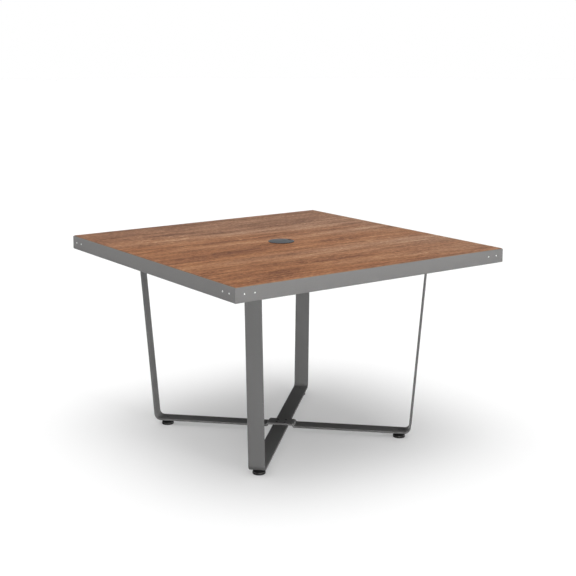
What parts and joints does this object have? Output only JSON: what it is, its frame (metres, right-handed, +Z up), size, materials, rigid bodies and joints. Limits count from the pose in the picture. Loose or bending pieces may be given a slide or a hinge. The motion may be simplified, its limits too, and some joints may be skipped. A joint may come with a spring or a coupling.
{
  "type": "conference table",
  "caption": "Square conference table: wood-grain top in a grey steel edge with a cable grommet, on crossed flat-bar leg frames with levelling glides.",
  "frame": {"origin": "on the floor under the middle of the top", "axes": "+Z up; +X along the wood grain; -Y is the front edge, which the picture shows on its right"},
  "size_m": [1.205, 1.205, 0.7653],
  "materials": {
    "wood_laminate": "reddish brown wood-grain laminate, satin",
    "board": "particle board, raw",
    "backing_paper": "dark brown backing laminate, matt",
    "grey_paint": "grey powder coat with a fine metallic grain, satin",
    "polished_screws": "polished dome heads",
    "zinc_fasteners": "zinc plated steel",
    "black_screws": "black oxide",
    "black_glides": "black moulded nylon",
    "grey_plastic": "blue-grey moulded plastic, satin"
  },
  "bodies": {
    "table": {"panel_core": "board", "face_laminate": "wood_laminate", "backing_sheet": "backing_paper", "edge_rail_front": "grey_paint", "edge_rail_right": "grey_paint", "edge_rail_back": "grey_paint", "edge_rail_left": "grey_paint", "edge_screw_front_1": "polished_screws", "edge_screw_front_2": "polished_screws", "edge_screw_front_3": "polished_screws", "edge_screw_front_4": "polished_screws", "edge_screw_right_1": "polished_screws", "edge_screw_right_2": "polished_screws", "edge_screw_right_3": "polished_screws", "edge_screw_right_4": "polished_screws", "edge_screw_back_1": "polished_screws", "edge_screw_back_2": "polished_screws", "edge_screw_back_3": "polished_screws", "edge_screw_back_4": "polished_screws", "edge_screw_left_1": "polished_screws", "edge_screw_left_2": "polished_screws", "edge_screw_left_3": "polished_screws", "edge_screw_left_4": "polished_screws", "rail_screw_front_1": "zinc_fasteners", "rail_screw_front_2": "zinc_fasteners", "rail_screw_right_1": "zinc_fasteners", "rail_screw_right_2": "zinc_fasteners", "rail_screw_back_1": "zinc_fasteners", "rail_screw_back_2": "zinc_fasteners", "rail_screw_left_1": "zinc_fasteners", "rail_screw_left_2": "zinc_fasteners", "lower_leg_frame": "grey_paint", "upper_leg_frame": "grey_paint", "leg_bolt_front_left_1": "zinc_fasteners", "leg_bolt_front_left_2": "zinc_fasteners", "leg_bolt_front_right_1": "zinc_fasteners", "leg_bolt_front_right_2": "zinc_fasteners", "leg_bolt_back_left_1": "zinc_fasteners", "leg_bolt_back_left_2": "zinc_fasteners", "leg_bolt_back_right_1": "zinc_fasteners", "leg_bolt_back_right_2": "zinc_fasteners", "cross_screw_1": "black_screws", "cross_screw_2": "black_screws", "cross_screw_3": "black_screws", "cross_screw_4": "black_screws", "grommet_sleeve": "grey_plastic"},
    "grommet_cap": {"grommet_cap": "grey_plastic"},
    "grommet_tab": {"grommet_tab": "grey_plastic"},
    "glide_pad_front_left": {"glide_pad_front_left": "black_glides"},
    "glide_stud_front_left": {"glide_stud_front_left": "black_screws"},
    "glide_pad_front_right": {"glide_pad_front_right": "black_glides"},
    "glide_stud_front_right": {"glide_stud_front_right": "black_screws"},
    "glide_pad_back_left": {"glide_pad_back_left": "black_glides"},
    "glide_stud_back_left": {"glide_stud_back_left": "black_screws"},
    "glide_pad_back_right": {"glide_pad_back_right": "black_glides"},
    "glide_stud_back_right": {"glide_stud_back_right": "black_screws"}
  },
  "joints": [
    {"name": "cap_turn", "type": "hinge", "parent": "table", "child": "grommet_cap", "pos_m": [0, 0, 0.762], "axis": [0, 0, 1], "continuous": true},
    {"name": "tab_flip", "type": "hinge", "parent": "grommet_cap", "child": "grommet_tab", "pos_m": [0.0152, 0, 0.7626], "axis": [0, -1, 0], "range_deg": [0, 90]},
    {"name": "glide_drop_front_left", "type": "slide", "parent": "table", "child": "glide_pad_front_left", "axis": [0, 0, -1], "range_m": [0, 0.005]},
    {"name": "stud_turn_front_left", "type": "hinge", "parent": "glide_pad_front_left", "child": "glide_stud_front_left", "pos_m": [-0.33042, -0.33042, 0], "axis": [0, 0, -1], "range_deg": [0, 1440]},
    {"name": "glide_drop_front_right", "type": "slide", "parent": "table", "child": "glide_pad_front_right", "axis": [0, 0, -1], "range_m": [0, 0.005]},
    {"name": "stud_turn_front_right", "type": "hinge", "parent": "glide_pad_front_right", "child": "glide_stud_front_right", "pos_m": [0.33042, -0.33042, 0], "axis": [0, 0, -1], "range_deg": [0, 1440]},
    {"name": "glide_drop_back_left", "type": "slide", "parent": "table", "child": "glide_pad_back_left", "axis": [0, 0, -1], "range_m": [0, 0.005]},
    {"name": "stud_turn_back_left", "type": "hinge", "parent": "glide_pad_back_left", "child": "glide_stud_back_left", "pos_m": [-0.33042, 0.33042, 0], "axis": [0, 0, -1], "range_deg": [0, 1440]},
    {"name": "glide_drop_back_right", "type": "slide", "parent": "table", "child": "glide_pad_back_right", "axis": [0, 0, -1], "range_m": [0, 0.005]},
    {"name": "stud_turn_back_right", "type": "hinge", "parent": "glide_pad_back_right", "child": "glide_stud_back_right", "pos_m": [0.33042, 0.33042, 0], "axis": [0, 0, -1], "range_deg": [0, 1440]}
  ],
  "couplings": [
    {"joint": "stud_turn_front_left", "follows": "glide_drop_front_left", "rad_per_m": 5026.5},
    {"joint": "stud_turn_front_right", "follows": "glide_drop_front_right", "rad_per_m": 5026.5},
    {"joint": "stud_turn_back_left", "follows": "glide_drop_back_left", "rad_per_m": 5026.5},
    {"joint": "stud_turn_back_right", "follows": "glide_drop_back_right", "rad_per_m": 5026.5}
  ]
}
